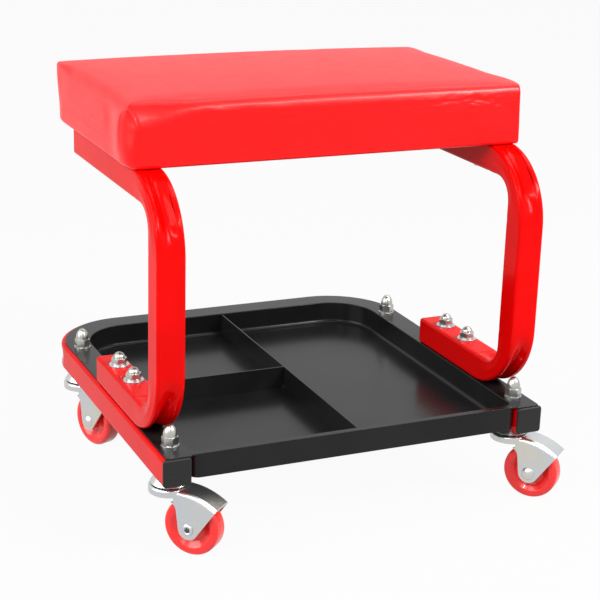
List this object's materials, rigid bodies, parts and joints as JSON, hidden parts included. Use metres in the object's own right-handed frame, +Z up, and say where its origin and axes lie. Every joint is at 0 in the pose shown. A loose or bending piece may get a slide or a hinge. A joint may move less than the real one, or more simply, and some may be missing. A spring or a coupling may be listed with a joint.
{
  "type": "creeper seat",
  "caption": "Low rolling workshop seat: padded cushion on two C-shaped tube arms over a U-shaped base with a divided tool tray and swivel casters.",
  "frame": {"origin": "on the floor, under the middle of the base frame's length and width", "axes": "+Z up; -Y towards the open front of the base, where the tray's lip is; +X to the right seen from the front"},
  "size_m": [0.403, 0.3878, 0.3832],
  "materials": {
    "red_paint": "gloss",
    "black_paint": "satin",
    "black_plastic": "satin",
    "bright_zinc": "satin",
    "polished_steel": "polished",
    "red_vinyl": "satin",
    "foam": "matte",
    "plywood": "matte",
    "red_plastic": "satin"
  },
  "bodies": {
    "stool": {"base_frame": "red_paint", "frame_plug_left": "black_plastic", "frame_plug_right": "black_plastic", "tool_tray": "black_paint", "tray_divider_long": "black_paint", "tray_divider_short": "black_paint", "left_seat_arm": "red_paint", "right_seat_arm": "red_paint", "left_arm_upper_plug": "black_plastic", "left_arm_lower_plug": "black_plastic", "right_arm_upper_plug": "black_plastic", "right_arm_lower_plug": "black_plastic", "seat_board": "plywood", "seat_foam": "foam", "seat_cover": "red_vinyl", "seat_staples": "bright_zinc", "seat_bolts": "bright_zinc", "seat_bolt_washers": "bright_zinc", "seat_tee_nuts": "bright_zinc", "arm_bolts": "bright_zinc", "arm_bolt_washers": "bright_zinc", "arm_flat_washers": "bright_zinc", "arm_spring_washers": "bright_zinc", "arm_acorn_nuts": "polished_steel", "corner_washers": "bright_zinc", "corner_acorn_nuts": "polished_steel", "front_left_stem": "bright_zinc", "front_left_race": "bright_zinc", "front_right_stem": "bright_zinc", "front_right_race": "bright_zinc", "rear_left_stem": "bright_zinc", "rear_left_race": "bright_zinc", "rear_right_stem": "bright_zinc", "rear_right_race": "bright_zinc"},
    "front_left_caster": {"front_left_fork": "bright_zinc", "front_left_axle": "bright_zinc", "front_left_bush": "bright_zinc", "front_left_balls": "polished_steel"},
    "front_left_roller": {"front_left_wheel": "red_plastic"},
    "front_right_caster": {"front_right_fork": "bright_zinc", "front_right_axle": "bright_zinc", "front_right_bush": "bright_zinc", "front_right_balls": "polished_steel"},
    "front_right_roller": {"front_right_wheel": "red_plastic"},
    "rear_left_caster": {"rear_left_fork": "bright_zinc", "rear_left_axle": "bright_zinc", "rear_left_bush": "bright_zinc", "rear_left_balls": "polished_steel"},
    "rear_left_roller": {"rear_left_wheel": "red_plastic"},
    "rear_right_caster": {"rear_right_fork": "bright_zinc", "rear_right_axle": "bright_zinc", "rear_right_bush": "bright_zinc", "rear_right_balls": "polished_steel"},
    "rear_right_roller": {"rear_right_wheel": "red_plastic"}
  },
  "joints": [
    {"name": "front_left_swivel", "type": "hinge", "parent": "stool", "child": "front_left_caster", "pos_m": [-0.1688, -0.1571, 0.06], "axis": [0, 0, 1], "continuous": true},
    {"name": "front_left_spin", "type": "hinge", "parent": "front_left_caster", "child": "front_left_roller", "pos_m": [-0.15261, -0.17508, 0.0258], "axis": [0.7431, 0.6691, 0], "continuous": true},
    {"name": "front_right_swivel", "type": "hinge", "parent": "stool", "child": "front_right_caster", "pos_m": [0.1688, -0.1571, 0.06], "axis": [0, 0, 1], "continuous": true},
    {"name": "front_right_spin", "type": "hinge", "parent": "front_right_caster", "child": "front_right_roller", "pos_m": [0.18419, -0.17577, 0.0258], "axis": [0.7716, 0.6361, 0], "continuous": true},
    {"name": "rear_left_swivel", "type": "hinge", "parent": "stool", "child": "rear_left_caster", "pos_m": [-0.1688, 0.1042, 0.06], "axis": [0, 0, 1], "continuous": true},
    {"name": "rear_left_spin", "type": "hinge", "parent": "rear_left_caster", "child": "rear_left_roller", "pos_m": [-0.16013, 0.08161, 0.0258], "axis": [0.9336, 0.3584, 0], "continuous": true},
    {"name": "rear_right_swivel", "type": "hinge", "parent": "stool", "child": "rear_right_caster", "pos_m": [0.1688, 0.1042, 0.06], "axis": [0, 0, 1], "continuous": true},
    {"name": "rear_right_spin", "type": "hinge", "parent": "rear_right_caster", "child": "rear_right_roller", "pos_m": [0.18787, 0.0893, 0.0258], "axis": [0.6157, 0.788, 0], "continuous": true}
  ]
}
